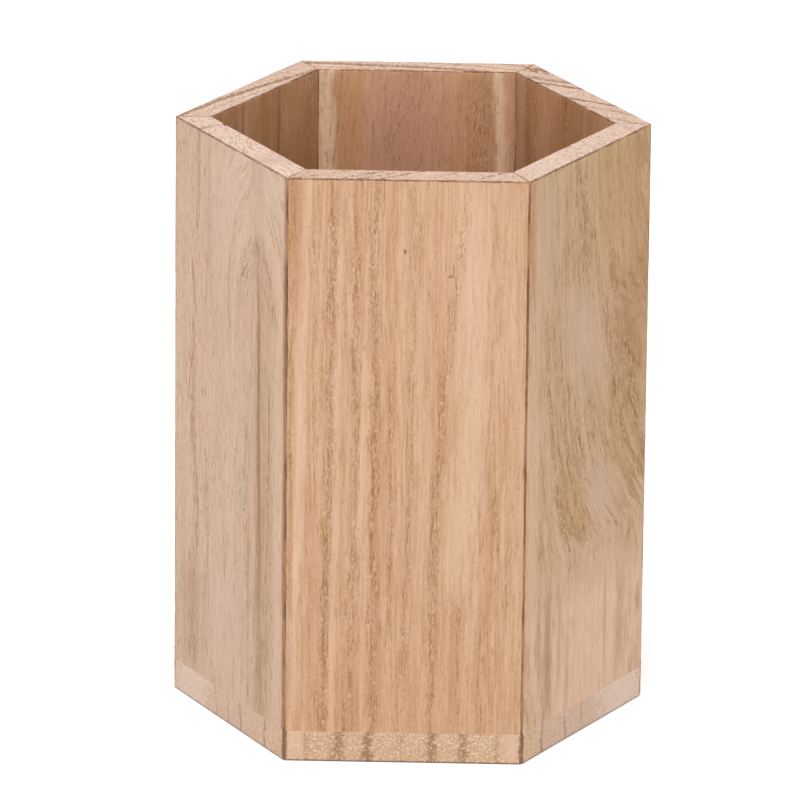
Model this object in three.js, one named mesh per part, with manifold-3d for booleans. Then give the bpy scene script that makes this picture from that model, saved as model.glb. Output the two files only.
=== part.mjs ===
// Hexagonal wooden pen organizer for a desk: six mitred boards stand in a ring on a hexagonal
// foot plate and hold an open well for pens. Millimetres, +Z up. The origin is the middle of the
// underside, the front board's face looks along -Y, and two of the six corners lie on the X axis.
import * as THREE from "three";
import { mergeVertices } from "three/addons/utils/BufferGeometryUtils.js";
import Module from "manifold-3d";

// Driving dimensions
const overallHeight = 120;
const sideLength = 47; // outside width of one board, corner to corner
const boardThickness = 6.3;
const plateThickness = 6.3;
const glueLine = 0.3; // open joint between two mitred boards, filled with glue
const cornerRadius = 0.8; // sanding of the six upright corners
const outerEdgeEase = 0.4; // flat sanded along the rim's outer edge and round the foot
const mouthEdgeEase = 0.3; // flat sanded along the rim's inner edge

// The boards in their order round the ring, from the front and anticlockwise seen from above,
// each with the tone of its own piece of wood.
const boards = [
  { name: "front_board", color: 0xd4aa86 },
  { name: "front_right_board", color: 0xc39f7c },
  { name: "back_right_board", color: 0xbe9474 },
  { name: "back_board", color: 0xc49d7d },
  { name: "back_left_board", color: 0xbe9676 },
  { name: "front_left_board", color: 0xd0b197 },
];
const plateColor = 0xcfa888;

// Worked out from the dimensions
const sides = boards.length;
const halfSector = Math.PI / sides;
const outerApothem = sideLength / 2 / Math.tan(halfSector);
const wellApothem = outerApothem - boardThickness;
const overcut = boardThickness; // how far a cutting solid runs past what it cuts
const arcSegments = 6;

const wasm = await Module();
wasm.setup();

// A closed three.js geometry as a solid that can be joined and cut.
function toSolid(geometry) {
  const bare = geometry.clone();
  bare.deleteAttribute("normal");
  bare.deleteAttribute("uv");
  const merged = mergeVertices(bare, 1e-4);
  return new wasm.Manifold(
    new wasm.Mesh({
      numProp: 3,
      vertProperties: merged.attributes.position.array,
      triVerts: new Uint32Array(merged.index.array),
    }),
  );
}

// A solid as a three.js geometry again.
function toGeometry(solid) {
  const mesh = solid.getMesh();
  const geometry = new THREE.BufferGeometry();
  geometry.setAttribute("position", new THREE.BufferAttribute(mesh.vertProperties, 3));
  geometry.setIndex(new THREE.BufferAttribute(mesh.triVerts, 1));
  geometry.computeVertexNormals();
  return geometry;
}

// A shape drawn in the XY plane, raised from one height to another.
function raise(shape, bottom, top, curveSegments = 1) {
  const depth = top - bottom;
  const geometry = new THREE.ExtrudeGeometry(shape, { depth, curveSegments, bevelEnabled: false });
  geometry.translate(0, 0, bottom);
  return toSolid(geometry);
}

// An upright prism with a flat side towards -Y, between two heights. Each end has its own
// apothem, so that unequal ones give sloping sides.
function prism(bottomApothem, bottom, topApothem, top) {
  const toCorner = 1 / Math.cos(halfSector);
  const geometry = new THREE.CylinderGeometry(
    topApothem * toCorner,
    bottomApothem * toCorner,
    top - bottom,
    sides,
    1,
    false,
    halfSector,
  );
  geometry.rotateX(Math.PI / 2);
  geometry.translate(0, 0, (bottom + top) / 2);
  return toSolid(geometry);
}

// The outside of the whole body as it comes off the sander: the upright corners are rounded,
// and a 45 degree flat runs along the rim's outer edge and round the foot.
function sandedBody() {
  const toArcCentre = (outerApothem - cornerRadius) / Math.cos(halfSector);
  const outline = new THREE.Shape();
  for (let i = 0; i < sides; i += 1) {
    const angle = -Math.PI / 2 + halfSector + 2 * halfSector * i;
    outline.absarc(
      toArcCentre * Math.cos(angle),
      toArcCentre * Math.sin(angle),
      cornerRadius,
      angle - halfSector,
      angle + halfSector,
      false,
    );
  }
  outline.closePath();
  const easedApothem = outerApothem - outerEdgeEase;
  const insideRimFlat = prism(easedApothem + overallHeight, 0, easedApothem, overallHeight);
  const insideFootFlat = prism(easedApothem, 0, easedApothem + overallHeight, overallHeight);
  const roundedBody = raise(outline, 0, overallHeight, arcSegments);
  return roundedBody.intersect(insideRimFlat).intersect(insideFootFlat);
}

// The well for pens, open at the top, with a 45 degree flat along the rim's inner edge.
function well() {
  const pastRim = overallHeight + overcut;
  const shaft = prism(wellApothem, -overcut, wellApothem, pastRim);
  const flatStart = overallHeight - mouthEdgeEase;
  const topApothem = wellApothem + pastRim - flatStart;
  const mouth = prism(wellApothem - overcut, flatStart - overcut, topApothem, pastRim);
  return shaft.add(mouth);
}

// The sector of the ring that one board fills: it stands on the plate, and its two sides are
// the mitres, each half a glue line short of the corner.
function mitreSector() {
  const reach = 2 * (outerApothem + overcut);
  const apex = -glueLine / 2 / Math.sin(halfSector);
  const sideways = reach * Math.tan(halfSector);
  const sector = new THREE.Shape();
  sector.moveTo(0, apex);
  sector.lineTo(-sideways, apex - reach);
  sector.lineTo(sideways, apex - reach);
  sector.closePath();
  return raise(sector, plateThickness, overallHeight + overcut);
}

function wood(color) {
  return new THREE.MeshStandardMaterial({ color, roughness: 0.75, metalness: 0 });
}

const body = sandedBody();
const organizer = new THREE.Group();

// Foot plate: the whole hexagon, its edges flush with the boards that stand on it.
const underBoards = prism(outerApothem + overcut, -overcut, outerApothem + overcut, plateThickness);
const plate = new THREE.Mesh(toGeometry(body.intersect(underBoards)), wood(plateColor));
plate.name = "foot_plate";
organizer.add(plate);

// Boards: one shape, turned to each side of the plate.
const boardGeometry = toGeometry(body.intersect(mitreSector()).subtract(well()));
boards.forEach(({ name, color }, i) => {
  const board = new THREE.Mesh(boardGeometry, wood(color));
  board.name = name;
  board.rotation.z = 2 * halfSector * i;
  organizer.add(board);
});

export default organizer;
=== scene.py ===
"""Hexagonal pen organizer in bare wood: six mitred boards glued in a ring on a foot plate.

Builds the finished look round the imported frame. Every board and the foot plate are fine meshes
with eased, slightly uneven edges, the glue shows in the mitres, and solid wood with its rings,
pores and streaks runs through each piece. The stage is a plain white floor in soft light.
"""

import math
from typing import NamedTuple

import bpy
from bpy.props import FloatProperty, FloatVectorProperty, PointerProperty
from mathutils import Euler, Matrix, Vector, noise


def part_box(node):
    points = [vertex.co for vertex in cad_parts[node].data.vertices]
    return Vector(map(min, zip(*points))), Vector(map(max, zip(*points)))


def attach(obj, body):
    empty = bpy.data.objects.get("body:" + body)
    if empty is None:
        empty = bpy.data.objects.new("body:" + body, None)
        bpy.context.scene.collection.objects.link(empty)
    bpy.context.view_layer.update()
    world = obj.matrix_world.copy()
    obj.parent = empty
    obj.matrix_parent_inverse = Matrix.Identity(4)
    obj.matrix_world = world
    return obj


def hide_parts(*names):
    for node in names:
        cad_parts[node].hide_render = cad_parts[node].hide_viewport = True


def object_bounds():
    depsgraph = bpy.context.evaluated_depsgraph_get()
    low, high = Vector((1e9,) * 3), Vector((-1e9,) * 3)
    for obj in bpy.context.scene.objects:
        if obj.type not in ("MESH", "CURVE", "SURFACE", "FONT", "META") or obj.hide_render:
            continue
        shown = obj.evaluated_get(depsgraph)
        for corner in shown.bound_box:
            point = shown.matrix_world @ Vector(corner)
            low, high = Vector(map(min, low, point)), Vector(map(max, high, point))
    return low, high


bl_info = {
    "name": "Hexagonal Pen Organizer",
    "version": (1, 0, 0),
    "blender": (4, 5, 0),
    "location": "View3D > Sidebar > Pen Organizer",
    "description": "Builds a hexagonal wooden pen organizer with its studio stage",
    "category": "Add Mesh",
}

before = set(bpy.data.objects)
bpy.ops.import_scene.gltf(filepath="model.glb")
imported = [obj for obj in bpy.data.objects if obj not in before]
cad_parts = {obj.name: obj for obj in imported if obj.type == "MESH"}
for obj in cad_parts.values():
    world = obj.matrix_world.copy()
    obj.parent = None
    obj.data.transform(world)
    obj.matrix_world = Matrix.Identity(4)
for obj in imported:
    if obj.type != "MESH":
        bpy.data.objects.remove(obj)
CAD_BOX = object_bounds()

# Sizes read from the frame, in metres. A board's own frame is the front board's: x runs along
# its face, -y points out of it and z is up, and the board is turned about z to its side.
BOARD_LOW, BOARD_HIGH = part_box("front_board")
SIDES = 6
HALF_SECTOR = math.pi / SIDES
APOTHEM = -BOARD_LOW.y
THICKNESS = BOARD_HIGH.y - BOARD_LOW.y
HEIGHT = BOARD_HIGH.z
PLATE_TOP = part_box("foot_plate")[1].z
HALF_SIDE = APOTHEM * math.tan(HALF_SECTOR)
MM = 0.001
INNER_FACE = (THICKNESS - APOTHEM) / MM  # where a board's inner face lies, in millimetres


def screen(red, green, blue):
    """A colour as a screen shows it, from 0 to 255, as Blender's linear values."""
    shares = [value / 255 for value in (red, green, blue)]
    return [s / 12.92 if s <= 0.04045 else ((s + 0.055) / 1.055) ** 2.4 for s in shares]


def length(name, description, default, largest):
    """A size in metres that the sidebar shows as a length."""
    limits = {"default": default, "min": 0, "max": largest, "precision": 5}
    return FloatProperty(
        name=name, description=description, subtype="DISTANCE", unit="LENGTH", **limits
    )


def angle(name, description, degrees):
    """An angle, given in degrees."""
    turn = math.radians(degrees)
    return FloatProperty(
        name=name, description=description, default=turn, subtype="ANGLE", unit="ROTATION"
    )


def colour(name, description, *rgb):
    """A colour property, given as a screen shows it."""
    limits = {"default": screen(*rgb), "min": 0, "max": 1, "size": 3}
    return FloatVectorProperty(name=name, description=description, subtype="COLOR", **limits)


class OrganizerSizes(bpy.types.PropertyGroup):
    """Sizes that the frame doesn't give."""

    edge_round: length("Edge rounding", "Radius of the boards' sanded edges", 0.35 * MM, MM)
    mitre_gap: length("Mitre gap", "Width of the joint that the glue fills", 0.3 * MM, MM)
    glue_depth: length("Glue depth", "How far the glue stays below the corners", 0.1 * MM, MM)
    hairline: length("Hairline", "Height of the fine joint over the foot plate", 0.02 * MM, MM)
    unevenness: length("Unevenness", "How far hand sanding leaves the faces from flat", 0.05 * MM, MM)
    mesh_step: length("Mesh step", "Widest step of the meshes across a face", 0.9 * MM, 0.01)


class OrganizerColours(bpy.types.PropertyGroup):
    """Colours of the wood, the glue and the worn edges."""

    warm_pale: colour("Warm wood, late", "Smooth late growth of the front board", 222, 181, 145)
    warm_dark: colour("Warm wood, early", "Porous early growth of the front board", 188, 138, 94)
    beige_pale: colour("Beige wood, late", "Smooth late growth of the pale board", 224, 194, 172)
    beige_dark: colour("Beige wood, early", "Porous early growth of the pale board", 192, 156, 124)
    olive_pale: colour("Olive wood, late", "Smooth late growth of the olive board", 212, 178, 144)
    olive_dark: colour("Olive wood, early", "Porous early growth of the olive board", 174, 134, 90)
    brown_pale: colour("Brown wood, late", "Smooth late growth of the back side boards", 192, 142, 100)
    brown_dark: colour("Brown wood, early", "Porous early growth of the back side boards", 160, 110, 70)
    rosy_pale: colour("Rosy wood, late", "Smooth late growth of the back board", 228, 178, 144)
    rosy_dark: colour("Rosy wood, early", "Porous early growth of the back board", 196, 144, 104)
    plate_pale: colour("Plate wood, late", "Smooth late growth of the foot plate", 222, 186, 153)
    plate_dark: colour("Plate wood, early", "Porous early growth of the foot plate", 172, 126, 88)
    pores: colour("Pores", "Open pores of all the wood", 148, 98, 56)
    # The rims' pale tone is partly the sawn ends' own and partly painted top light.
    rim: colour("Rim", "Sawn ends of the boards", 255, 222, 204)
    plate_end: colour("Plate end", "Sawn ends of the foot plate", 226, 190, 156)
    # This colour also paints the contact shadow round the foot plate's lower edge.
    edge: colour("Edge line", "Rubbed, dirty line along the arrises", 108, 68, 46)
    glue: colour("Glue", "Dried glue in the mitres", 124, 86, 52)


class OrganizerStage(bpy.types.PropertyGroup):
    """Camera and light of the stage."""

    distance: length("Camera distance", "From the middle of the organizer", 1.805, 10)
    azimuth: angle("Azimuth", "How far the camera stands round to the right of the front board", 1.2)
    elevation: angle("Elevation", "How far the camera looks down", 18.4)
    roll: angle("Roll", "How far the organizer's top leans right in the picture", 0.6)
    lens: FloatProperty(
        name="Lens", description="Focal length of the camera", default=408, subtype="DISTANCE_CAMERA"
    )
    room_light: FloatProperty(
        name="Room light", description="Strength of the even light from all round", default=0.55, min=0
    )


class Bend(NamedTuple):
    """A place whose grain is drawn sideways, in millimetres of its board's face.

    The pull is full at up and below it, fades within about tall millimetres above it, and
    reaches about wide millimetres to each side. push is how far it shifts the grain.
    """

    across: float
    up: float
    wide: float
    tall: float
    push: float


class Band(NamedTuple):
    """A band of open pores along the grain, in millimetres of its board's face.

    lean is how far it runs to the right for each millimetre up, and curve how far its ends lie
    to the right of its middle.
    """

    across: float
    up: float
    half_width: float
    half_length: float
    strength: float
    lean: float = 0
    curve: float = 0


class Patch(NamedTuple):
    """A soft patch or stripe in another tone, in millimetres of its piece. It leans as bands do."""

    middle: tuple
    half: tuple
    tone: tuple
    strength: float
    lean: float = 0


class Wood(NamedTuple):
    """How one piece was cut from its log. Lengths are in millimetres.

    pith is where the log's middle lies, across the face and behind it, and above dive it runs
    away from the face. wander is how far the grain strays sideways. The shares say how plain
    the growth rings, the slow streaks, the fine lines, the short dashes and the speckle of the
    sawn ends are, how pale those ends are, and how plain the ring lines on them. On the boards'
    rims that paleness is partly painted top light.
    """

    slot: str
    tones: str
    pith: tuple
    ring: float
    wander: float
    seed: float
    rings: float
    streaks: float = 0.3
    lines: float = 0.4
    dashes: float = 1
    speckle: float = 0.85
    paleness: float = 0.8
    ring_lines: float = 0.85
    dive: float = 500
    bends: tuple = ()
    bands: tuple = ()
    patches: tuple = ()


def stripe(across, up, half_width, half_length, tone, strength, lean=0):
    """A patch on the face of a board, through its whole thickness."""
    return Patch((across, 0, up), (half_width, 500, half_length), tone, strength, lean)


OLIVE_BROWN = (166, 128, 84)
ORANGE_BROWN = (190, 134, 90)
PINK_PALE = (234, 196, 170)
PINK_GREY = (218, 190, 172)
PINK_BEIGE = (208, 176, 150)
PEACH = (228, 192, 162)
DEEP_BROWN = (128, 88, 58)
OCHRE = (204, 156, 112)
GOLD = (190, 146, 94)
TAN = (192, 152, 116)
KNOT = (120, 78, 48)
UMBER = (148, 110, 76)
GREY_TAN = (212, 186, 168)
PINK_WHITE = (230, 204, 188)
BISQUE = (255, 220, 184)
HONEY = (220, 168, 116)
ROSE = (222, 170, 142)
# Few pores open in patches of these tones.
SMOOTH_TONES = (PINK_PALE, PINK_GREY, PINK_WHITE, PINK_BEIGE, PEACH, GREY_TAN)

FRONT = Wood(
    slot="warm_tan_wood",
    tones="warm",
    pith=(-60, 88),
    ring=1.9,
    wander=0.25,
    seed=3,
    rings=0.2,
    lines=0.55,
    paleness=0.62,
    bands=(
        Band(-22.6, 70, 0.8, 70, 0.5),
        Band(-19.2, 40, 0.5, 20, 0.4),
        Band(-18, 84, 0.5, 34, 0.5),
        Band(-15, 60, 1.2, 70, 0.9, 0.018, -0.6),
        Band(-12, 100, 0.4, 22, 0.4),
        Band(-10, 60, 0.9, 70, 0.75, 0.015, -1.4),
        Band(-6.2, 60, 1.1, 70, 0.9),
        Band(-2.7, 58, 0.6, 36, 0.7),
        Band(1, 64, 0.7, 60, 0.65, 0.023),
        Band(6.6, 60, 0.9, 70, 0.85, 0.055, 3),
        Band(8.8, 84, 0.5, 14, 0.6, 0.05),
        Band(10.4, 22, 0.7, 16, 0.5),
        Band(15, 20, 0.6, 16, 0.45),
        Band(16.5, 76, 0.5, 46, 0.5, 0.08, -0.6),
        Band(17.6, 50, 0.9, 8, 0.75),
        Band(20, 40, 0.7, 10, 0.55),
    ),
    patches=(
        stripe(-20.8, 60, 0.9, 68, PINK_PALE, 0.7, 0.022),
        stripe(-13.6, 60, 0.7, 68, PINK_PALE, 0.55, 0.013),
        stripe(-8.6, 64, 0.6, 22, PINK_PALE, 0.45, 0.02),
        stripe(13.6, 102, 3, 26, PINK_PALE, 0.5),
        stripe(13, 68, 3.2, 20, PEACH, 0.6, 0.06),
        stripe(10.2, 46, 3, 14, PEACH, 0.55, 0.06),
        stripe(20, 100, 2.4, 26, PEACH, 0.3),
        stripe(0, 8, 24, 22, OCHRE, 0.15),
        stripe(-0.5, 105.5, 0.3, 0.5, KNOT, 0.8),
        stripe(8.3, 100.6, 0.5, 0.3, KNOT, 0.6),
        stripe(-22.2, 108, 2, 18, ORANGE_BROWN, 0.45),
    ),
)
FRONT_RIGHT = Wood(
    slot="olive_tan_wood",
    tones="olive",
    pith=(-75, 34),
    ring=3.4,
    wander=0.5,
    seed=17,
    rings=0.3,
    streaks=0.35,
    lines=0.5,
    dashes=1.5,
    paleness=1,
    bends=(
        Bend(0, 38, 25, 25, -8.5),
        Bend(26, 40, 30, 35, -22),
        Bend(26, 78, 16, 14, -11),
        Bend(26, 112, 8, 4, -7),
    ),
    bands=(
        Band(-17.6, 66, 0.7, 34, 0.9),
        Band(-15.6, 64, 0.5, 32, 0.7),
        Band(-13.6, 62, 0.6, 30, 0.8),
        Band(-11.8, 58, 0.4, 22, 0.6),
        Band(-10, 56, 0.6, 22, 0.8),
        Band(-8, 52, 0.5, 16, 0.7),
        Band(-5, 106, 3, 14, 0.7),
        Band(-6.5, 70, 0.8, 14, 0.5),
        Band(0.5, 66, 1.4, 26, 0.7),
        Band(4, 76, 1, 26, 0.7),
        Band(14.2, 20, 1.6, 12, 0.9),
    ),
    patches=(
        stripe(14, 108, 13, 16, GOLD, 0.5),
        stripe(17.5, 84, 8.5, 16, ORANGE_BROWN, 0.45),
        stripe(18, 80, 7, 18, OLIVE_BROWN, 0.3),
        stripe(16, 58, 7, 12, GOLD, 0.3),
        stripe(-4, 48, 5, 8, GOLD, 0.4, -0.4),
        stripe(-17, 106, 4.5, 16, PINK_BEIGE, 0.55),
        stripe(-1.5, 82, 7.5, 12, PINK_BEIGE, 0.8, -0.3),
        stripe(6, 49, 6, 8, PINK_BEIGE, 0.85, -0.3),
        stripe(4, 18, 28, 24, PINK_PALE, 0.75),
        stripe(-21, 60, 2.6, 36, PEACH, 0.55),
        stripe(-14.1, 20, 1.5, 15, OLIVE_BROWN, 0.65),
        stripe(20.5, 116, 3, 4, OLIVE_BROWN, 0.4),
        stripe(-17.6, 24, 0.5, 12, TAN, 0.6),
        stripe(-9.7, 22, 0.6, 14, TAN, 0.5),
        stripe(-6.5, 15, 0.6, 10, TAN, 0.45),
        stripe(8.3, 19, 0.5, 11, TAN, 0.6),
        stripe(14.2, 20, 1.6, 12, TAN, 0.55),
        stripe(-22.2, 107, 1.2, 14, ORANGE_BROWN, 0.6),
        stripe(0, 36, 26, 9, TAN, 0.25),
        stripe(10, 96.5, 0.7, 1.6, UMBER, 0.35, -1),
        stripe(12.5, 90, 0.9, 1.8, UMBER, 0.4, -1.3),
        stripe(14.6, 86, 0.8, 1.8, UMBER, 0.32, -1.4),
        stripe(15.8, 91, 0.9, 1.5, UMBER, 0.32, -1.6),
        stripe(18.6, 88, 1, 1.5, UMBER, 0.35, -1.9),
        stripe(19.6, 93, 0.9, 1.2, UMBER, 0.3, -1.8),
        stripe(12.5, 78.5, 0.7, 2.8, UMBER, 0.35, -1),
        stripe(15.5, 76, 0.7, 2.8, UMBER, 0.32, -0.9),
        stripe(18.5, 72.5, 0.7, 3, UMBER, 0.35, -0.9),
        stripe(16.5, 65, 0.6, 3.4, UMBER, 0.3, -0.7),
    ),
)
BACK_RIGHT = Wood(
    slot="brown_wood",
    tones="brown",
    pith=(-95, 150),
    ring=4.2,
    wander=1,
    seed=29,
    rings=0.9,
    ring_lines=1,
    patches=(
        stripe(17.5, 80, 1.6, 90, PINK_BEIGE, 0.35),
        stripe(14.5, 80, 1.2, 90, DEEP_BROWN, 0.3),
        stripe(9.5, 90, 1.6, 60, OCHRE, 0.4, 0.05),
        stripe(-6, 80, 8, 90, DEEP_BROWN, 0.12),
    ),
)
BACK = Wood(
    slot="brown_wood",
    tones="rosy",
    pith=(20, 130),
    ring=2.4,
    wander=1.4,
    seed=41,
    rings=0.7,
    dashes=1.2,
    patches=(
        Patch((18.2, INNER_FACE, 80), (1.8, 6, 90), BISQUE, 0.9),
        stripe(13, 80, 2.4, 90, HONEY, 0.6),
        stripe(2, 80, 7, 90, ROSE, 0.6),
        stripe(-10.5, 80, 3.5, 90, HONEY, 0.45),
        Patch((-17.4, INNER_FACE, 92), (1.2, 6, 60), BISQUE, 0.85, 0.03),
    ),
)
BACK_LEFT = Wood(
    slot="brown_wood",
    tones="brown",
    pith=(24, 160),
    ring=2.6,
    wander=1,
    seed=53,
    rings=0.7,
    patches=(
        stripe(-5, 80, 0.6, 90, DEEP_BROWN, 0.45),
        stripe(8.5, 80, 0.5, 90, DEEP_BROWN, 0.4),
        stripe(-13, 80, 6, 90, OCHRE, 0.3),
    ),
)
FRONT_LEFT = Wood(
    slot="pale_beige_wood",
    tones="beige",
    pith=(11.6, 2.5),
    ring=4.1,
    wander=0.4,
    seed=67,
    rings=0.15,
    streaks=0.2,
    lines=0.3,
    dashes=1.6,
    paleness=1,
    dive=90,
    bands=(
        Band(-13.6, 108, 0.8, 16, 0.5),
        Band(-16, 66, 1.1, 18, 0.6, 0.02),
        Band(-15, 50, 0.6, 16, 0.7, -0.03),
        Band(-13.8, 40, 0.8, 10, 0.6),
        Band(-15.4, 22, 1.5, 14, 0.7),
        Band(-9.6, 42, 0.6, 14, 0.6, -0.04),
        Band(-0.4, 94, 0.5, 14, 0.5),
        Band(4, 102, 1.2, 16, 0.6),
        Band(17.2, 100, 1.5, 12, 0.5),
        Band(7, 50, 1.6, 14, 0.45),
        Band(8, 26, 0.8, 20, 0.4),
    ),
    patches=(
        stripe(14, 52, 6, 56, TAN, 0.4),
        stripe(12.6, 64, 1.3, 34, TAN, 0.45),
        stripe(-15.4, 66, 0.4, 16, OLIVE_BROWN, 0.4, 0.02),
        stripe(-11.6, 50, 0.3, 17, OLIVE_BROWN, 0.3, -0.1),
        stripe(-9.2, 34, 0.3, 16, OLIVE_BROWN, 0.3, -0.06),
        stripe(-13.8, 46, 0.3, 10, OLIVE_BROWN, 0.4, -0.08),
        stripe(-13.2, 112, 0.4, 9, OLIVE_BROWN, 0.4),
        stripe(-8.6, 102, 1, 16, TAN, 0.4),
        stripe(-0.2, 93, 0.3, 9, OLIVE_BROWN, 0.3),
        stripe(-7, 84, 0.3, 6, OLIVE_BROWN, 0.3, -0.05),
        stripe(-15, 18, 6, 13, OLIVE_BROWN, 0.22),
        stripe(-2, 20, 5, 16, PINK_GREY, 0.45),
        stripe(1, 108, 8, 14, PINK_GREY, 0.4),
        stripe(12.5, 114, 4, 9, PINK_GREY, 0.4),
        stripe(20.4, 50, 1.6, 54, PEACH, 0.45),
        stripe(12.9, 24, 1.7, 24, OLIVE_BROWN, 0.45),
        stripe(12.4, 68, 0.55, 32, UMBER, 0.7, -0.015),
        stripe(16.8, 64, 0.3, 16, OLIVE_BROWN, 0.75),
        stripe(16.1, 24, 0.3, 22, OLIVE_BROWN, 0.4),
        stripe(-15.1, 87, 0.35, 6, DEEP_BROWN, 0.45, -0.16),
        stripe(23.1, 60, 0.7, 90, DEEP_BROWN, 0.6),
        stripe(6.4, 47, 0.5, 0.3, KNOT, 0.6),
    ),
)
PLATE = Wood(
    slot="end_grain_wood",
    tones="plate",
    pith=(110, 4),
    ring=6,
    wander=0.4,
    seed=83,
    rings=0,
    streaks=0.15,
    lines=0.2,
    dashes=0.5,
    speckle=0.6,
    paleness=0.65,
    bands=(
        Band(-37.7, 0, 0.2, 500, 0.42),
        Band(-35.2, 0, 0.2, 500, 0.42),
        Band(-32.6, 0, 0.2, 500, 0.48),
        Band(-27.3, 0, 0.2, 500, 0.6),
        Band(-18.9, 0, 0.8, 500, 0.3),
        Band(-12.6, 0, 1.3, 500, 0.5),
        Band(-6.8, 0, 1.1, 500, 0.55),
        Band(0, 0, 0.5, 500, 0.3),
        Band(5.9, 0, 1.1, 500, 0.55),
        Band(12.1, 0, 1.2, 500, 0.45),
        Band(18.6, 0, 0.7, 500, 0.3),
        Band(27.3, 0, 0.2, 500, 0.6),
        Band(31.8, 0, 0.2, 500, 0.48),
        Band(35.2, 0, 0.2, 500, 0.42),
    ),
    patches=(
        Patch((-21.4, -41, 3), (1.8, 4, 9), PEACH, 0.9),
        Patch((21.4, -41, 3), (1.8, 4, 9), PEACH, 0.9),
        Patch((-35, -22, 3), (11, 20, 9), GREY_TAN, 0.75),
        Patch((35, -22, 3), (11, 20, 9), GREY_TAN, 0.75),
        Patch((-43.5, -6, 3), (4.6, 12, 9), PINK_WHITE, 0.85),
        Patch((43, -6, 3), (5.4, 12, 9), PINK_WHITE, 0.95),
    ),
)

# The boards in their order round the ring, from the front and anticlockwise seen from above.
BOARDS = {
    "front_board": FRONT,
    "front_right_board": FRONT_RIGHT,
    "back_right_board": BACK_RIGHT,
    "back_board": BACK,
    "back_left_board": BACK_LEFT,
    "front_left_board": FRONT_LEFT,
}

# How large the marks in the wood and the glue are, in millimetres across, into and along the
# grain.
DRIFT = (26, 26, 70)
QUIVER = (3, 3, 8)
RAGGED = (1.1, 1.1, 9)
STREAK = (2.6, 2.6, 70)
FINE_LINE = (0.42, 0.42, 13)
RIPPLE = (0.8, 0.8, 6)
FIBRE = (0.55, 0.55, 16)
BLUSH = (9, 9, 24)
PIT = (0.21, 0.21, 0.7)
DASH = (0.32, 0.32, 3.2)
RAISED = (0.2, 0.2, 0.9)
DARK_SPECK = (0.46, 0.46, 2)
PALE_SPECK = (0.5, 0.5, 2)
CRUMBLED = (0.9, 0.9, 1.4)
RUBBED = (5, 5, 8)
CRUMB = (0.5, 0.5, 1.1)

BLUSH_TONE = screen(226, 182, 154)
RING_LINE = screen(160, 112, 74)
RED_SPECK = screen(170, 112, 76)
# Pale specks of the sawn ends, and the painted highlight on raised fibres.
SPECK_AND_HIGHLIGHT_TONE = screen(252, 228, 200)
ARCH_REACH = 20  # how far to each side of a diving pith its arch reaches, in millimetres
ARCH_SLOPE = 0.45  # how far the pith dives for each millimetre up


class Value:
    """A number, vector or colour in a node tree. Arithmetic on it adds the nodes it takes."""

    def __init__(self, nodes, socket):
        self.nodes = nodes
        self.socket = socket

    def through(self, operation, *others):
        """The result of one math node."""
        kind = "ShaderNodeMath" if self.socket.type == "VALUE" else "ShaderNodeVectorMath"
        return self.nodes.result(kind, dict(enumerate((self, *others))), operation=operation)

    def __add__(self, other):
        return self.through("ADD", other)

    def __sub__(self, other):
        return self.through("SUBTRACT", other)

    def __rsub__(self, other):
        return self * -1 + other

    def __mul__(self, other):
        return self.through("MULTIPLY", other)

    def __truediv__(self, other):
        return self.through("DIVIDE", other)

    def __abs__(self):
        return self.through("ABSOLUTE")

    def at_least(self, other):
        """The larger of the two."""
        return self.through("MAXIMUM", other)

    def scaled(self, factor):
        """A vector times a number."""
        inputs = {0: self, "Scale": factor}
        return self.nodes.result("ShaderNodeVectorMath", inputs, operation="SCALE")

    def split(self):
        """The three parts of a vector."""
        parts = self.nodes.add("ShaderNodeSeparateXYZ", {0: self}).outputs
        return [Value(self.nodes, part) for part in parts]

    def band(self, low, high, to_low=0, to_high=1):
        """The value between low and high as to_low to to_high, with soft ends."""
        ends = {"From Min": low, "From Max": high, "To Min": to_low, "To Max": to_high}
        inputs = {"Value": self} | ends
        return self.nodes.result("ShaderNodeMapRange", inputs, interpolation_type="SMOOTHSTEP")


class Nodes:
    """Adds nodes to one tree. An input takes a plain value or a Value of the same tree."""

    def __init__(self, tree):
        self.tree = tree

    def fill(self, sockets, inputs):
        """Joins each Value to its socket, and sets a plain value on the socket itself."""
        for key, value in inputs.items():
            if isinstance(value, Value):
                self.tree.links.new(value.socket, sockets[key])
            else:
                sockets[key].default_value = value

    def add(self, kind, inputs, **settings):
        node = self.tree.nodes.new(kind)
        for name, value in settings.items():
            setattr(node, name, value)
        self.fill(node.inputs, inputs)
        return node

    def result(self, kind, inputs, output=0, **settings):
        """One output of a new node."""
        return Value(self, self.add(kind, inputs, **settings).outputs[output])

    def joined(self, x, y, z):
        return self.result("ShaderNodeCombineXYZ", {0: x, 1: y, 2: z})

    def noise(self, place, cell, detail=2, output="Fac"):
        """Soft noise from 0 to 1 whose blotches are about cell millimetres each way."""
        inputs = {"Vector": place / cell, "Scale": 1, "Detail": detail}
        return self.result("ShaderNodeTexNoise", inputs, output)

    def mix(self, share, first, second):
        """The first colour with a share of the second over it."""
        return self.result("ShaderNodeMix", {0: share, 6: first, 7: second}, 2, data_type="RGBA")


# What a group's parameters are annotated with, as kinds of value, and the socket of each kind.
KINDS = {float: "VALUE", Vector: "VECTOR", list: "RGBA"}
SOCKETS = {"VALUE": "NodeSocketFloat", "VECTOR": "NodeSocketVector", "RGBA": "NodeSocketColor"}


def node_group(name, build):
    """A new group with what build adds. Its annotated parameters are the group's inputs."""
    tree = bpy.data.node_groups.new(name, "ShaderNodeTree")
    nodes = Nodes(tree)
    kinds = {label: SOCKETS[KINDS[kind]] for label, kind in build.__annotations__.items()}
    for label, kind in kinds.items():
        tree.interface.new_socket(label, in_out="INPUT", socket_type=kind)
    given = tree.nodes.new("NodeGroupInput").outputs
    results = build(nodes, **{label: Value(nodes, given[label]) for label in kinds})
    for label, value in results.items():
        kind = SOCKETS[value.socket.type]
        tree.interface.new_socket(label, in_out="OUTPUT", socket_type=kind)
    nodes.fill(tree.nodes.new("NodeGroupOutput").inputs, results)
    return tree


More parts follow.
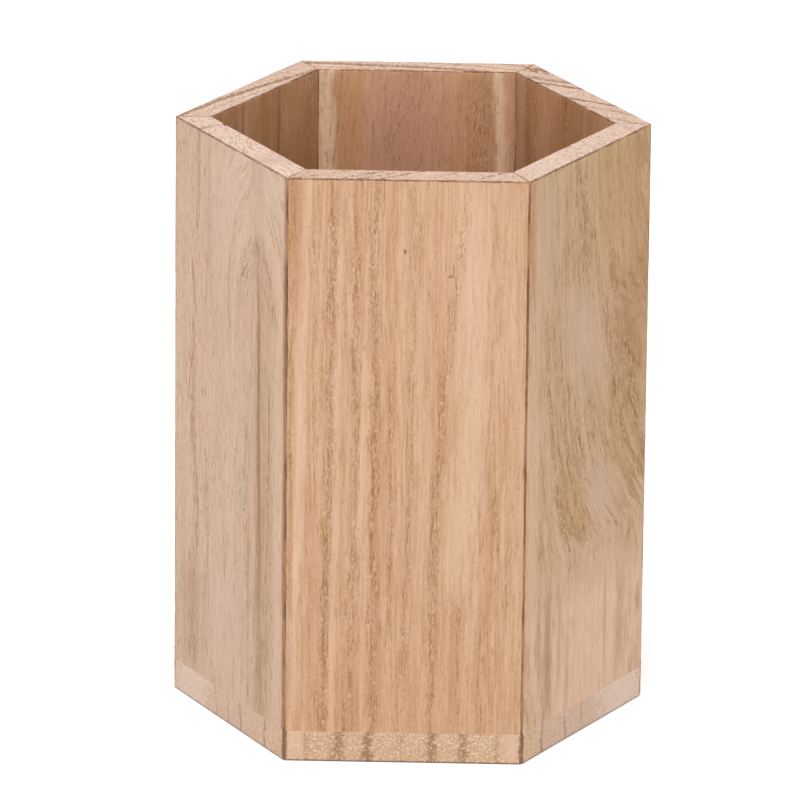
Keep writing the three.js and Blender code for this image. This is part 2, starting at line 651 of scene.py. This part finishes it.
def shared(name):
    """Makes a function that adds nodes into one node group, which all its callers share."""

    def wrap(build):
        def use(nodes, **inputs):
            tree = bpy.data.node_groups.get(name) or node_group(name, build)
            outputs = nodes.add("ShaderNodeGroup", inputs, node_tree=tree).outputs
            values = [Value(nodes, output) for output in outputs]
            return values if len(values) > 1 else values[0]

        return use

    return wrap


@shared("Bend of the grain")
def bent_grain(nodes, place: Vector, middle: Vector, wide: float, tall: float, push: float):
    """Draws the grain sideways round one place of the face."""
    x, _, z = (place - middle).split()
    aside = x / wide
    away = aside * aside + (z / tall).at_least(0)
    nearness = (away * -1).through("EXPONENT")
    return {"place": place + nodes.joined(push * nearness, 0, 0), "nearness": nearness}


@shared("Course of the grain")
def course_of_grain(
    nodes, place: Vector, pith: Vector, dive: float, wander: float, figure: float, seed: float
):
    """Where a place lies in the log: its distance from the pith, and its place in the grain."""
    seeds = nodes.joined(seed, seed, seed)
    middle_grey = (0.5, 0.5, 0.5)
    # The grain strays slowly, and quivers more where it is figured.
    drift = nodes.noise(place + seeds, DRIFT, 1, "Color") - middle_grey
    quiver = nodes.noise(place + seeds, QUIVER, 3, "Color") - middle_grey
    stray = drift.scaled(wander * 4) + quiver.scaled(figure * 1.2 + 0.9)
    bent = place + stray * (1, 0.5, 0)

    # Where the pith dives, the rings close in an arch over it.
    x, y, _ = (bent - pith).split()
    aside = x / ARCH_REACH
    near = (aside * aside * -1).through("EXPONENT")
    deep = y - (place.split()[2] - dive).at_least(0) * near * ARCH_SLOPE
    radius = (x * x + deep * deep).through("SQRT")
    level = (x * x + y * y).through("SQRT")
    sideways = x / (x * x + 4).through("SQRT")
    grain = bent + seeds + nodes.joined((radius - level) * sideways, 0, 0)
    return {"radius": radius, "grain": grain, "ragged": nodes.noise(grain, RAGGED, 4)}


@shared("Growth rings")
def growth_rings(nodes, radius: float, ring: float, seed: float, ragged: float, show: float):
    """Growth rings: each starts with a band of porous early wood."""
    rings = radius / ring
    slow = {"W": rings + seed, "Scale": 0.55, "Detail": 1}
    uneven = nodes.result("ShaderNodeTexNoise", slow, "Fac", noise_dimensions="1D")
    rings = rings + uneven * 1.6
    phase = (rings + ragged.band(0.2, 0.8, -0.1, 0.1)).through("FRACT")
    number = {"W": rings.through("FLOOR")}
    each = nodes.result("ShaderNodeTexWhiteNoise", number, "Value", noise_dimensions="1D")
    early = phase.band(0, 0.08) * phase.band(0.12, 0.6, 1, 0) * each.band(0, 1, 0.4, 1)
    return {"early": early * show}


@shared("Band of pores")
def pore_band(
    nodes,
    early: float,
    radius: float,
    place: Vector,
    ragged: float,
    ring_radius: float,
    half_width: float,
    up: float,
    half_length: float,
    strength: float,
    lean: float,
    curve: float,
):
    """Adds one band of open pores to those already there."""
    height = place.split()[2] - up
    along = height / half_length
    course = ring_radius + height * lean + along * along * curve
    fray = ragged.band(0.25, 0.75, -0.55, 0.55)
    side = abs(radius - course) / half_width + fray
    end = abs(along) + fray * 0.3
    share = side.band(0, 1.8, 1, 0) * end.band(0.6, 1.15, 1, 0) * strength
    return {"early": early.at_least(share)}


@shared("Patch of another tone")
def tone_patch(
    nodes,
    colour: list,
    place: Vector,
    ragged: float,
    end: float,
    middle: Vector,
    half: Vector,
    lean: float,
    tone: list,
    strength: float,
):
    """Lays one soft patch of another tone over a colour, fainter on the sawn ends."""
    offset = place - middle
    offset = offset - nodes.joined(offset.split()[2] * lean, 0, 0)
    x, y, z = abs(offset / half).split()
    fray = ragged.band(0.25, 0.75, -0.45, 0.45)
    share = (x + fray).band(0.3, 1.5, 1, 0) * y.band(0.6, 1.1, 1, 0)
    share = share * (z + fray * 0.4).band(0.35, 1.25, 1, 0) * end.band(0, 1, 1, 0.35) * strength
    return {"colour": nodes.mix(share, colour, tone), "share": share}


@shared("Tone of the wood")
def wood_tone(
    nodes,
    grain: Vector,
    place: Vector,
    early: float,
    end: float,
    late_wood: list,
    early_wood: list,
    end_grain: list,
    streaks: float,
    lines: float,
    paleness: float,
    figure: float,
):
    """Tone of bare wood, from how porous it is and where it lies in the grain."""
    # Slow streaks and fine lines run along the grain, ripples where it is bent, and early
    # wood is darker.
    broad = nodes.noise(grain, STREAK).band(0.3, 0.7, -0.5, 0.5)
    fine = nodes.noise(grain, FINE_LINE).band(0.3, 0.7, -0.5, 0.5)
    ripple = nodes.noise(grain, RIPPLE, 3).band(0.35, 0.65, -0.5, 0.5)
    darkness = broad * streaks + 0.25 + fine * lines + ripple * figure + early * 0.45
    tone = nodes.mix(darkness, late_wood, early_wood)
    blush = nodes.noise(place, BLUSH).band(0.45, 0.7, 0, 0.3)
    tone = nodes.mix(blush, tone, opaque(BLUSH_TONE))
    # Sawn ends turn pale; on the boards' rims that paleness is partly painted top light.
    return {"colour": nodes.mix(end * paleness, tone, end_grain)}


@shared("Relief of the wood")
def wood_relief(
    nodes,
    colour: list,
    grain: Vector,
    early: float,
    end: float,
    pores: list,
    dashes: float,
    speckle: float,
    calm: float,
    ring_lines: float,
):
    """Pits, dashes and raised fibres of bare wood, and the coarse specks of its sawn ends.

    The raised fibres' paleness is a painted highlight, and the pits' darkness is partly painted shade.
    """
    open_share = calm * -0.7 + 1
    fibre = nodes.noise(grain, FIBRE, 3).band(0.42, 0.7, 0, 0.11)
    tone = nodes.mix(fibre, colour, pores)

    # The rings show as reddish lines on the sawn ends, and specks lie between them.
    tone = nodes.mix(early.band(0.1, 0.6) * end * ring_lines, tone, opaque(RING_LINE))
    speckle = end * speckle * open_share * (early * -0.6 + 1)
    dark_speck = nodes.noise(grain, DARK_SPECK, 1).band(0.48, 0.34)
    tone = nodes.mix(dark_speck * speckle * 0.6, tone, opaque(RED_SPECK))
    pale_speck = nodes.noise(grain, PALE_SPECK, 1).band(0.52, 0.66)
    tone = nodes.mix(pale_speck * speckle, tone, opaque(SPECK_AND_HIGHLIGHT_TONE))

    # Dark pits, dark dashes along the grain and pale raised fibres crowd together in early wood.
    # The pits are dark pores with painted shade in them; the fibres' paleness is a painted highlight.
    porous = early.at_least(end * 0.4)
    room = porous.band(0, 0.9, 0.6, 0.53)

    def spots(apart, cell):
        """Spots of that size, from 0 to 1, in another part of the noise."""
        found = nodes.noise(grain + (apart, apart, 0), cell, 1)
        return (found - room).band(0, 0.14) * open_share

    pit = spots(0, PIT)
    dash = spots(90, DASH) * dashes
    raised = spots(40, RAISED)
    # Painted shade deepens the pits, and a painted highlight lights the raised fibres.
    tone = nodes.mix(pit * (porous * 0.28 + 0.16), tone, pores)
    tone = nodes.mix(dash * (porous * 0.3 + 0.22), tone, pores)
    tone = nodes.mix(raised * (porous * 0.25 + 0.16), tone, opaque(SPECK_AND_HIGHLIGHT_TONE))
    return {"colour": tone, "height": raised * 0.6 - pit - dash}


@shared("Rubbed edges")
def rubbed_board(nodes, place: Vector):
    """How rubbed a place of a board is: 1 on the arrises of the rim and of the corners."""
    x, y, z = place.split()
    ragged = nodes.noise(place, CRUMBLED, 4).band(0.3, 0.7, -0.1, 0.4)
    patchy = nodes.noise(place, RUBBED)
    depth = y + APOTHEM / MM
    below_rim = HEIGHT / MM - z
    to_mitre = HALF_SIDE / MM - (abs(x) + depth * math.tan(HALF_SECTOR))

    def line(first, second, width):
        """1 within about width of the arris where both distances are nil."""
        far = abs(first).at_least(abs(second)) / width - ragged
        return far.band(0.3, 1.1, 1, 0)

    edge_darkening = line(depth, below_rim, 0.36).at_least(line(depth - THICKNESS / MM, below_rim, 0.3))
    edge_darkening = edge_darkening.at_least(line(depth, to_mitre, 0.4) * patchy.band(0.38, 0.6, 0.1, 0.75))
    return {"edge_darkening": edge_darkening * patchy.band(0.3, 0.62, 0.6, 1)}


def plate_dirt_and_shadow(nodes, place):
    """How dark a place of the foot plate is: 1 round its lower edge and down its corners.

    Round the lower edge this is painted contact shadow; down the corners it is rubbed dirt.
    """
    x, y, z = place.split()
    ragged = nodes.noise(place, CRUMBLED, 4) * 0.5
    from_corner = APOTHEM / math.cos(HALF_SECTOR) / MM - (x * x + y * y).through("SQRT")
    corner = (from_corner - ragged).band(-0.1, 0.2, 1, 0)
    # Painted contact shadow round the lower edge, together with the dirty corner lines.
    return (z - ragged).band(-0.1, 0.3, 1, 0).at_least(corner)


def opaque(rgb):
    """A colour with its fourth part."""
    return [*rgb, 1]


def new_material(name):
    """A new material, what adds its nodes, and its place in millimetres of the piece's frame."""
    material = bpy.data.materials.new(name)
    material.use_nodes = True
    nodes = Nodes(material.node_tree)
    place = nodes.result("ShaderNodeTexCoord", {}, "Object").scaled(1 / MM)
    return material, nodes, place


def finish_surface(nodes, tone, rough, height, strength, depth):
    """Gives a material its colour, its roughness and the fine relief of its surface."""
    relief = {"Height": height, "Strength": strength, "Distance": depth}
    bump = nodes.result("ShaderNodeBump", relief)
    surface = {"Base Color": tone, "Roughness": rough, "Normal": bump}
    surface["Specular IOR Level"] = 0.25
    nodes.fill(nodes.tree.nodes["Principled BSDF"].inputs, surface)


def wood_material(name, wood, colours, lying=False):
    """Solid wood for one piece. A lying piece has its grain along y in place of z."""
    material, nodes, face = new_material(name)
    x, y, z = face.split()
    place = nodes.joined(x, z, y) if lying else face
    behind = wood.pith[1] if lying else wood.pith[1] - APOTHEM / MM
    figure = 0
    for bend in wood.bends:
        sizes = {"wide": bend.wide, "tall": bend.tall, "push": bend.push}
        middle = (bend.across, 0, bend.up)
        place, nearness = bent_grain(nodes, place=place, middle=middle, **sizes)
        figure = nearness.at_least(figure)
    radius, grain, ragged = course_of_grain(
        nodes,
        place=place,
        pith=(wood.pith[0], behind, 0),
        dive=wood.dive,
        wander=wood.wander,
        figure=figure,
        seed=wood.seed,
    )
    log = {"ring": wood.ring, "seed": wood.seed, "show": wood.rings}
    early = growth_rings(nodes, radius=radius, ragged=ragged, **log)
    for band in wood.bands:
        aside = band.across - wood.pith[0]
        ring_radius = math.hypot(aside, wood.pith[1])
        slope = aside / ring_radius
        early = pore_band(
            nodes,
            early=early,
            radius=radius,
            place=place,
            ragged=ragged,
            ring_radius=ring_radius,
            half_width=band.half_width * max(abs(slope), 0.2),
            up=band.up,
            half_length=band.half_length,
            strength=band.strength,
            lean=band.lean * slope,
            curve=band.curve * slope,
        )

    normal = nodes.result("ShaderNodeTexCoord", {}, "Normal").split()
    # On the boards the sawn ends are the rims, whose pale tone is partly painted top light.
    end = abs(normal[1]).band(0, 0.8) if lying else abs(normal[2]).band(0.35, 0.95)
    tone = wood_tone(
        nodes,
        grain=grain,
        place=face,
        early=early,
        end=end,
        late_wood=opaque(getattr(colours, wood.tones + "_pale")),
        early_wood=opaque(getattr(colours, wood.tones + "_dark")),
        end_grain=opaque(colours.plate_end if lying else colours.rim),
        streaks=wood.streaks,
        lines=wood.lines,
        paleness=wood.paleness,
        figure=figure,
    )
    calm = 0
    for patch in wood.patches:
        tone, share = tone_patch(
            nodes,
            colour=tone,
            place=face,
            ragged=ragged,
            end=0 if lying else end,
            middle=patch.middle,
            half=patch.half,
            lean=patch.lean,
            tone=opaque(screen(*patch.tone)),
            strength=patch.strength,
        )
        if patch.tone in SMOOTH_TONES:
            calm = share.at_least(calm)
    tone, height = wood_relief(
        nodes,
        colour=tone,
        grain=grain,
        early=early,
        end=end,
        pores=opaque(colours.pores),
        dashes=wood.dashes,
        speckle=wood.speckle,
        calm=calm,
        ring_lines=wood.ring_lines,
    )
    # Dirty, rubbed edges darken the boards; on the foot plate the darkening round its lower edge is
    # painted contact shadow.
    edge_darkening = plate_dirt_and_shadow(nodes, face) if lying else rubbed_board(nodes, place=face)
    tone = nodes.mix(edge_darkening * 0.8, tone, opaque(colours.edge))
    finish_surface(nodes, tone, height.band(-1, 0.5, 0.85, 0.62), height, 0.7, 0.08 * MM)
    return material


def glue_material(colours):
    """Dried glue with sawdust in it: dark in the corners and paler in the rim."""
    material, nodes, place = new_material("Glue in the mitres")
    _, y, z = place.split()
    pale = opaque(colours.brown_pale)
    crumbs = nodes.noise(place, CRUMB, 3)
    tone = nodes.mix(crumbs.band(0.38, 0.66, 0, 0.9), opaque(colours.glue), opaque(colours.pores))
    tone = nodes.mix(nodes.noise(place, RUBBED).band(0.38, 0.62, 0, 0.75), tone, pale)
    near_rim = z.band(HEIGHT / MM - 0.3, HEIGHT / MM - 0.1, 0, 0.7)
    inside = y.band(-APOTHEM / MM, INNER_FACE - 2, 0, 0.85)
    tone = nodes.mix(near_rim.at_least(inside), tone, pale)
    finish_surface(nodes, tone, crumbs.band(0.3, 0.7, 0.45, 0.8), crumbs, 0.6, 0.1 * MM)
    return material


def ticks(low, high, ease, widest):
    """Places from low to high: close over the rounded edge at each end, and wider between."""
    half = (high - low) / 2
    growth = 1.3
    offsets = [0.0, 0.3 * ease, 0.6 * ease, ease]
    step = ease
    while offsets[-1] < half:
        step = min(step * growth, widest)
        offsets.append(offsets[-1] + step)
    stretch = (half - ease) / (offsets[-1] - ease)
    offsets = [o if o <= ease else ease + (o - ease) * stretch for o in offsets]
    return [low + o for o in offsets] + [high - o for o in reversed(offsets[:-1])]


def rounded(point, low, high, reach):
    """A point on a block's surface, moved onto the block whose edges are rounded.

    reach is how far the rounding goes along each axis.
    """
    limits = zip(point, low, high, reach, strict=True)
    inner = Vector(min(max(c, l + r), h - r) for c, l, h, r in limits)
    out = Vector(o / r for o, r in zip(point - inner, reach, strict=True)).normalized()
    return inner + out * reach


def block(name, low, high, ease, widest, shape):
    """A closed mesh of a finely divided block. shape moves each point of it to its place."""
    places = [ticks(low[axis], high[axis], ease, widest) for axis in range(3)]
    last = [len(p) - 1 for p in places]
    number = {}
    faces = []
    for axis in range(3):
        across, along = (axis + 1) % 3, (axis + 2) % 3
        for side in (0, last[axis]):
            for a in range(last[across]):
                for b in range(last[along]):
                    loop = []
                    for da, db in ((0, 0), (1, 0), (1, 1), (0, 1)):
                        index = [0, 0, 0]
                        index[axis], index[across], index[along] = side, a + da, b + db
                        loop.append(number.setdefault(tuple(index), len(number)))
                    faces.append(loop if side else loop[::-1])
    points = [Vector(places[axis][index[axis]] for axis in range(3)) for index in number]
    return mesh_object(name, [shape(point) for point in points], faces)


def linked_object(name, data):
    """A new object of that data, in the scene."""
    made = bpy.data.objects.new(name, data)
    bpy.context.scene.collection.objects.link(made)
    return made


def mesh_object(name, vertices, faces):
    """A smooth-shaded object from points and faces."""
    mesh = bpy.data.meshes.new(name)
    mesh.from_pydata(vertices, [], faces)
    mesh.shade_smooth()
    return linked_object(name, mesh)


def finish_piece(piece, material, slot, turn=0, replaced=()):
    """Gives a piece its material and place, and ties it to the frame."""
    piece.data.materials.append(material)
    piece.rotation_euler.z = turn
    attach(piece, "root")
    if replaced:
        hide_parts(*replaced)


PLATE_CORNER = 0.8 * MM  # rounding of the foot plate's upright corners
FLUSH_REACH = 3 * MM  # how near the joint over the foot plate the faces lie flush
EDGE_WAVE = 5 * MM  # how far apart the places are where an edge is sanded more
EDGE_CHANGE = 0.4  # how much more or less, as a share of the rounding
WAVE = 14 * MM  # how far apart the low places are that sanding leaves in a face
# Where in the noise each direction starts. noise_vector would start elsewhere on every run.
WAVE_STARTS = (Vector((9.3, 1.6, 7.9)), Vector((2.2, 8.4, 4.6)), Vector((6.7, 3.1, 5.8)))


def sanding_wave(place):
    """Slow, smooth noise at a place, from -1 to 1 each way."""
    return Vector([noise.noise(place / WAVE + start) for start in WAVE_STARTS])


# One small chip is torn out of the inner arris of the rim.
CHIPPED_BOARD = "front_left_board"
CHIP_PLACE = Vector((-13.9 * MM, THICKNESS - APOTHEM, HEIGHT))
CHIP_REACH = Vector((1.1, 1, 0.9)) * MM
CHIP_DEPTH = Vector((0, -0.35, -0.5)) * MM


def board_shape(name, seed, low, high, sizes):
    """What moves each point of a plain block to its place on a board."""
    sharp = 2 * sizes.edge_round
    offset = Vector((seed, seed, seed)) * MM * 7

    def shape(point):
        change = EDGE_CHANGE * noise.noise((point + offset) / EDGE_WAVE)
        radius = sizes.edge_round * (1 + change)
        # The foot and the inner upright edges stay sharp, where glue covers them.
        eased = Vector((point.x, point.y, max(point.z, low.z + sharp)))
        if point.y > (low.y + high.y) / 2:
            eased.x = min(max(point.x, low.x + sharp), high.x - sharp)
        place = rounded(eased, low, high, Vector((radius, radius, radius)))
        place += point - eased
        mitre = (place.y - low.y) * math.tan(HALF_SECTOR)
        place.x *= 1 - mitre / high.x
        if name == CHIPPED_BOARD:
            away = zip(place - CHIP_PLACE, CHIP_REACH, strict=True)
            place += CHIP_DEPTH * max(0.0, 1 - Vector(a / r for a, r in away).length ** 2)
        uneven = sanding_wave(place + offset) * sizes.unevenness
        uneven.y = max(uneven.y, 0.0) if point.y == low.y else uneven.y
        uneven.y *= min(1.0, (point.z - PLATE_TOP) / FLUSH_REACH)
        uneven.z = min(uneven.z, 0.0)
        return place + uneven

    return shape


class ORGANIZER_OT_boards(bpy.types.Operator):
    """Add the six mitred side boards"""

    bl_idname = "pen_organizer.boards"
    bl_label = "Side Boards"
    bl_options = {"REGISTER", "UNDO"}

    def execute(self, context):
        sizes = context.scene.organizer_sizes
        half_width = HALF_SIDE - sizes.mitre_gap / 2 / math.cos(HALF_SECTOR)
        low = Vector((-half_width, -APOTHEM, PLATE_TOP))
        high = Vector((half_width, THICKNESS - APOTHEM, HEIGHT))
        for side, (name, wood) in enumerate(BOARDS.items()):
            shape = board_shape(name, wood.seed, low, high, sizes)
            board = block(name + "_wood", low, high, sizes.edge_round, sizes.mesh_step, shape)
            colours = context.scene.organizer_colours
            material = wood_material(name.replace("_", " "), wood, colours)
            finish_piece(board, material, wood.slot, 2 * HALF_SECTOR * side, [name])
        return {"FINISHED"}


def spoke(direction, reach):
    """The point at that angle and distance from the middle, seen from above."""
    return Vector((math.cos(direction), math.sin(direction))) * reach


def hexagon_outline(apothem, corner, steps, arc=4):
    """Points round a hexagon with rounded corners, anticlockwise from the front left corner."""
    to_centre = (apothem - corner) / math.cos(HALF_SECTOR)
    points = []
    for side in range(SIDES):
        facing = 2 * HALF_SECTOR * side - math.pi / 2
        start = spoke(facing - HALF_SECTOR, to_centre) + spoke(facing, corner)
        centre = spoke(facing + HALF_SECTOR, to_centre)
        stop = centre + spoke(facing, corner)
        points += [start.lerp(stop, step / steps) for step in range(steps)]
        turns = [facing + 2 * HALF_SECTOR * step / arc for step in range(arc)]
        points += [centre + spoke(turn, corner) for turn in turns]
    return points


def round_over(radius, height, way, steps=4):
    """Loops round an eased edge, from the flat face to the side. way is -1 going down."""
    quarter = [math.pi / 2 * step / steps for step in range(steps + 1)]
    return [
        (1, radius * (1 - math.sin(a)), height + way * radius * (1 - math.cos(a))) for a in quarter
    ]


class ORGANIZER_OT_foot_plate(bpy.types.Operator):
    """Add the hexagonal foot plate under the boards"""

    bl_idname = "pen_organizer.foot_plate"
    bl_label = "Foot Plate"
    bl_options = {"REGISTER", "UNDO"}

    def execute(self, context):
        sizes = context.scene.organizer_sizes
        steps = round(2 * HALF_SIDE / sizes.mesh_step)
        flat_steps, side_steps = 12, 7
        # Each loop is a share of the outline's size, an inset from it and a height.
        shares = [step / flat_steps for step in range(1, flat_steps)]
        loops = [(share, 0, PLATE_TOP) for share in shares]
        loops += round_over(sizes.hairline, PLATE_TOP, -1)
        top, bottom = PLATE_TOP - sizes.hairline, sizes.edge_round
        for step in range(1, side_steps):
            loops.append((1, 0, top + (bottom - top) * step / side_steps))
        loops += reversed(round_over(sizes.edge_round, 0, 1))
        loops += [(share, 0, 0) for share in reversed(shares)]
        vertices = []
        for share, inset, height in loops:
            for x, y in hexagon_outline(APOTHEM - inset, PLATE_CORNER, steps):
                place = Vector((x * share, y * share, height))
                uneven = sanding_wave(place) * sizes.unevenness
                edgewise = Vector((x, y, 0)).normalized() * -abs(uneven.x)
                edgewise *= min(1.0, (PLATE_TOP - height) / FLUSH_REACH)
                vertices.append(place + edgewise)
        count = len(vertices) // len(loops)
        last = len(vertices) - count
        ahead = [*range(1, count), 0]
        faces = []
        for above in range(0, last, count):
            below = above + count
            faces += [[above + k, below + k, below + n, above + n] for k, n in enumerate(ahead)]
        for k, n in enumerate(ahead):
            faces += [[len(vertices), k, n], [len(vertices) + 1, last + n, last + k]]
        vertices += [Vector((0, 0, PLATE_TOP)), Vector((0, 0, 0))]
        plate = mesh_object("foot_plate_wood", vertices, faces)
        colours = context.scene.organizer_colours
        material = wood_material("foot plate", PLATE, colours, lying=True)
        finish_piece(plate, material, PLATE.slot, replaced=["foot_plate"])
        return {"FINISHED"}


class ORGANIZER_OT_glue_lines(bpy.types.Operator):
    """Add the dried glue that shows in the six mitres"""

    bl_idname = "pen_organizer.glue_lines"
    bl_label = "Glue Lines"
    bl_options = {"REGISTER", "UNDO"}

    def execute(self, context):
        sizes = context.scene.organizer_sizes
        material = glue_material(context.scene.organizer_colours)
        to_corner = 1 / math.cos(HALF_SECTOR)
        outer = APOTHEM * to_corner - sizes.edge_round * (to_corner - 1) - sizes.glue_depth
        crumb = 1.3 * MM
        half = 0.65 * sizes.mitre_gap
        inner = (APOTHEM - THICKNESS) * to_corner - sizes.mitre_gap * 0.4
        low = Vector((-half, -outer, PLATE_TOP))
        high = Vector((half, -inner, HEIGHT - sizes.glue_depth / 2))
        for corner in range(SIDES):

            def shape(point, corner=corner):
                place = rounded(point, low, high, Vector((half, half, half)) * 0.5)
                ripple = noise.noise(point / crumb + Vector((0, 0, corner)))
                ripple *= sizes.glue_depth * 0.7
                place.y += ripple if place.y < (low.y + high.y) / 2 else -ripple / 3
                place.z -= abs(ripple) if point.z == high.z else 0.0
                return place

            line = block(f"glue_line_{corner + 1}", low, high, half * 0.5, 2 * MM, shape)
            turn = HALF_SECTOR + 2 * HALF_SECTOR * corner
            finish_piece(line, material, "brown_wood", turn)
        return {"FINISHED"}


class Lamp(NamedTuple):
    """A soft square lamp, its place from the organizer's middle and its size in metres."""

    name: str
    offset: tuple
    size: float
    watts: float


LAMPS = (
    Lamp("front light", (-0.2, -1.1, 0.9), 0.5, 5.6),
    Lamp("left light", (-1, -0.45, 0.22), 0.6, 2.3),
    Lamp("right light", (1, -0.45, 0.2), 0.6, 2.5),
    Lamp("top light", (0, -0.1, 1.1), 0.7, 2.2),
)


class ORGANIZER_OT_stage(bpy.types.Operator):
    """Add the white floor, the soft light and the camera"""

    bl_idname = "pen_organizer.stage"
    bl_label = "Stage"
    bl_options = {"REGISTER", "UNDO"}

    def execute(self, context):
        scene = context.scene
        settings = scene.organizer_stage
        scene.view_settings.view_transform = "Standard"
        middle = (CAD_BOX[0] + CAD_BOX[1]) / 2
        self.add_floor()
        self.light_room(scene, settings.room_light)
        for lamp in LAMPS:
            light = bpy.data.lights.new(lamp.name, "AREA")
            light.size = lamp.size
            light.energy = lamp.watts
            offset = Vector(lamp.offset)
            stand = linked_object(lamp.name, light)
            stand.location = middle + offset
            stand.rotation_euler = (-offset).to_track_quat("-Z", "Y").to_euler()
        self.add_camera(scene, settings, middle)
        return {"FINISHED"}

    def add_floor(self):
        """A floor that the camera sees as white, apart from the organizer's shadow.

        It is open under the foot plate, so that the underside shows from below.
        """
        height, floor_reach = -0.02 * MM, 3
        opening = (APOTHEM - MM) / math.cos(HALF_SECTOR)
        reaches = [(opening, 2 * HALF_SECTOR * k) for k in range(SIDES)]
        reaches += [(floor_reach, turn) for _, turn in reaches]
        corners = [(*spoke(turn, reach), height) for reach, turn in reaches]
        ahead = [*range(1, SIDES), 0]
        faces = [(k, k + SIDES, n + SIDES, n) for k, n in enumerate(ahead)]
        floor = mesh_object("floor", corners, faces)
        material = bpy.data.materials.new("white floor")
        material.use_nodes = True
        nodes = Nodes(material.node_tree)
        nodes.tree.nodes.remove(nodes.tree.nodes["Principled BSDF"])
        paint = nodes.result("ShaderNodeBsdfDiffuse", {"Color": (0.8, 0.8, 0.8, 1)})
        glow = nodes.result("ShaderNodeLightPath", {}, "Is Camera Ray") * 0.5
        glow = nodes.result("ShaderNodeEmission", {"Strength": glow})
        both = nodes.result("ShaderNodeAddShader", {0: paint, 1: glow})
        nodes.fill(nodes.tree.nodes["Material Output"].inputs, {"Surface": both})
        floor.data.materials.append(material)

    def light_room(self, scene, strength):
        """Even light from all round, which the camera sees as white."""
        scene.world = bpy.data.worlds.new("studio")
        scene.world.use_nodes = True
        nodes = Nodes(scene.world.node_tree)
        glossy = nodes.result("ShaderNodeLightPath", {}, "Is Glossy Ray")
        seen = nodes.result("ShaderNodeLightPath", {}, "Is Camera Ray").at_least(glossy)
        light = {"Color": (1, 1, 1, 1), "Strength": seen.band(0, 1, strength, 1)}
        nodes.fill(nodes.tree.nodes["Background"].inputs, light)

    def add_camera(self, scene, settings, middle):
        """The camera, placed so that the organizer sits in the picture as photographed."""
        off_centre = Vector((10.3, -8.5))  # the organizer's middle from the picture's, in pixels
        picture_width = 800
        lens = bpy.data.cameras.new("camera")
        lens.lens = settings.lens
        lens.clip_end = 10
        scene.camera = linked_object("camera", lens)
        turn = Euler((math.pi / 2 - settings.elevation, 0, settings.azimuth)).to_matrix().to_4x4()
        turn @= Matrix.Rotation(settings.roll, 4, "Z")
        pixel = settings.distance * lens.sensor_width / settings.lens / picture_width
        aside = -off_centre * pixel
        stand = middle + turn.to_3x3() @ Vector((aside.x, aside.y, settings.distance))
        scene.camera.matrix_world = Matrix.Translation(stand) @ turn


class ORGANIZER_PT_panel(bpy.types.Panel):
    """Sidebar panel with the pieces, their sizes and their colours"""

    bl_idname = "ORGANIZER_PT_panel"
    bl_label = "Pen Organizer"
    bl_space_type = "VIEW_3D"
    bl_region_type = "UI"
    bl_category = "Pen Organizer"

    def draw(self, context):
        for step in BUILD_STEPS:
            self.layout.operator(step.bl_idname)
        for name in SETTINGS:
            group = getattr(context.scene, name)
            box = self.layout.box()
            for setting in group.__annotations__:
                box.prop(group, setting)


SETTINGS = {
    "organizer_sizes": OrganizerSizes,
    "organizer_colours": OrganizerColours,
    "organizer_stage": OrganizerStage,
}
BUILD_STEPS = (
    ORGANIZER_OT_stage,
    ORGANIZER_OT_foot_plate,
    ORGANIZER_OT_boards,
    ORGANIZER_OT_glue_lines,
)
CLASSES = (*SETTINGS.values(), *BUILD_STEPS, ORGANIZER_PT_panel)


def register():
    for each in CLASSES:
        bpy.utils.register_class(each)
    for name, group in SETTINGS.items():
        setattr(bpy.types.Scene, name, PointerProperty(type=group))


def unregister():
    for name in SETTINGS:
        delattr(bpy.types.Scene, name)
    for each in reversed(CLASSES):
        bpy.utils.unregister_class(each)


def main():
    """Builds the organizer on its stage."""
    register()
    bpy.ops.pen_organizer.stage()
    bpy.ops.pen_organizer.foot_plate()
    bpy.ops.pen_organizer.boards()
    bpy.ops.pen_organizer.glue_lines()


if __name__ == "__main__":
    main()
